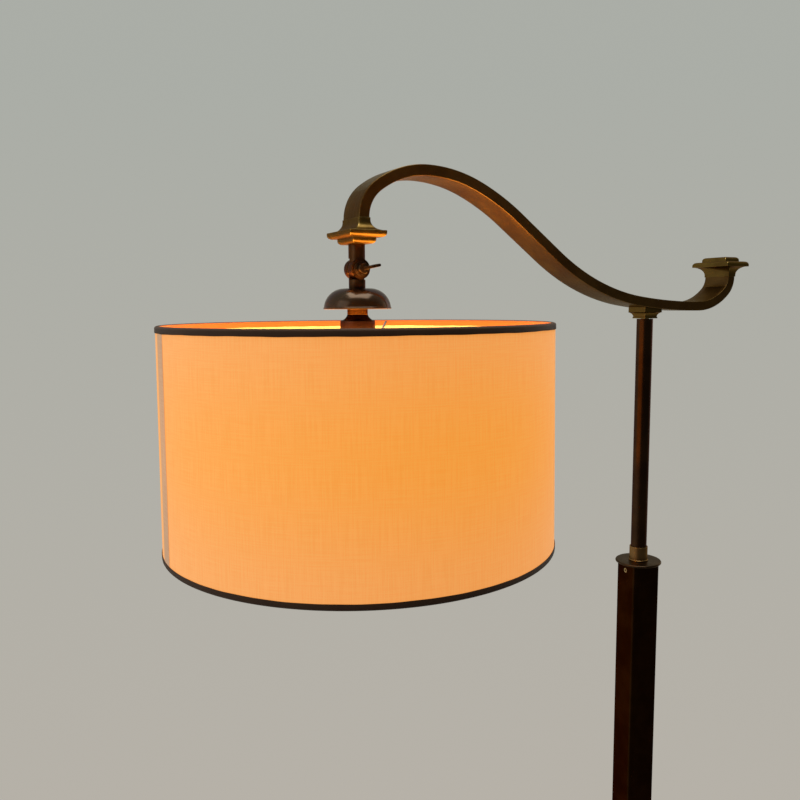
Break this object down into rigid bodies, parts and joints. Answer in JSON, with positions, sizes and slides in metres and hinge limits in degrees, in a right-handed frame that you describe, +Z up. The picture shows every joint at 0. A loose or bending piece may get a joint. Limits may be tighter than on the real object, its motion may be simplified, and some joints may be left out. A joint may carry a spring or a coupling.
{
  "type": "bridge floor lamp",
  "caption": "Floor lamp with a square column, a sliding pole, a swivelling S-curved flat arm and a tilting drum shade that hangs beside the stand.",
  "frame": {"origin": "middle of the base's underside, on the column's and pole's axis", "axes": "+Z up along the column; the arm lies in the XZ plane with the shade towards -X and the rear finial towards +X; the knuckle tilts about Y; the base and column are turned about Z below the arm, as pictured"},
  "size_m": [0.7627, 0.4054, 1.4608],
  "materials": {
    "felt": "matte",
    "cast_iron": "rough",
    "dark_bronze": "satin",
    "black_plastic": "matte",
    "zinc_steel": "satin",
    "machined_brass": "satin",
    "nylon": "matte",
    "worn_brass": "satin",
    "bronze_pole": "satin",
    "antique_bronze": "satin",
    "fibre": "matte",
    "gloss_bronze": "gloss",
    "holder_bronze": "satin",
    "ceramic": "glazed",
    "contact_brass": "bright",
    "cap_metal": "satin",
    "bulb_glass": "frosted",
    "zinc_wire": "satin",
    "shade_linen": "woven",
    "trim_tape": "woven"
  },
  "bodies": {
    "stand": {"felt_pad": "felt", "base_weight": "cast_iron", "base_cover": "dark_bronze", "cord_inlet": "black_plastic", "tie_tube": "zinc_steel", "tie_nut": "zinc_steel", "tie_washer": "zinc_steel", "column_foot": "dark_bronze", "column_tube": "dark_bronze", "column_foot_block": "zinc_steel", "guide_block": "machined_brass", "guide_bush": "nylon", "column_cap": "worn_brass", "guide_collar": "worn_brass"},
    "lock_screw": {"lock_screw": "machined_brass"},
    "pole": {"pole_tube": "bronze_pole", "pole_shoe": "nylon", "pole_head": "bronze_pole", "swivel_tube": "zinc_steel", "swivel_washer": "zinc_steel", "swivel_nut": "zinc_steel"},
    "arm": {"arm_capital": "antique_bronze", "arm_bar": "antique_bronze", "shade_end_casting": "antique_bronze", "rear_finial": "antique_bronze", "arm_tube": "zinc_steel", "knuckle_upper": "antique_bronze"},
    "head": {"knuckle_lower": "antique_bronze", "knuckle_washer": "fibre", "dome_cover": "gloss_bronze", "neck_sleeve": "worn_brass", "holder_tube": "zinc_steel", "lampholder_cap": "holder_bronze", "lampholder_shell": "holder_bronze", "lampholder_core": "ceramic", "thread_sleeve": "contact_brass", "centre_contact": "contact_brass", "shade_ring": "holder_bronze", "bulb_cap": "cap_metal", "bulb_glass": "bulb_glass", "shade_spider": "zinc_wire", "shade_low_wire": "zinc_wire", "shade_drum": "shade_linen", "shade_top_trim": "trim_tape", "shade_low_trim": "trim_tape", "shade_seam": "shade_linen"},
    "clamp_screw": {"clamp_screw": "worn_brass"}
  },
  "joints": [
    {"name": "pole_slide", "type": "slide", "parent": "stand", "child": "pole", "axis": [0, 0, 1], "range_m": [-0.28, 0.13]},
    {"name": "lock_screw_turn", "type": "hinge", "parent": "stand", "child": "lock_screw", "pos_m": [-0.01475, 0.00271, 0.9703], "axis": [-0.9836, 0.1805, 0], "range_deg": [-90, 270]},
    {"name": "arm_swivel", "type": "hinge", "parent": "pole", "child": "arm", "pos_m": [0, 0, 1.2975], "axis": [0, 0, 1], "range_deg": [-170, 170]},
    {"name": "shade_tilt", "type": "hinge", "parent": "arm", "child": "head", "pos_m": [-0.4028, 0, 1.3538], "axis": [0, 1, 0], "range_deg": [-20, 60]},
    {"name": "clamp_screw_turn", "type": "hinge", "parent": "head", "child": "clamp_screw", "pos_m": [-0.4028, -0.01, 1.3538], "axis": [0, 1, 0], "range_deg": [-60, 300]}
  ]
}
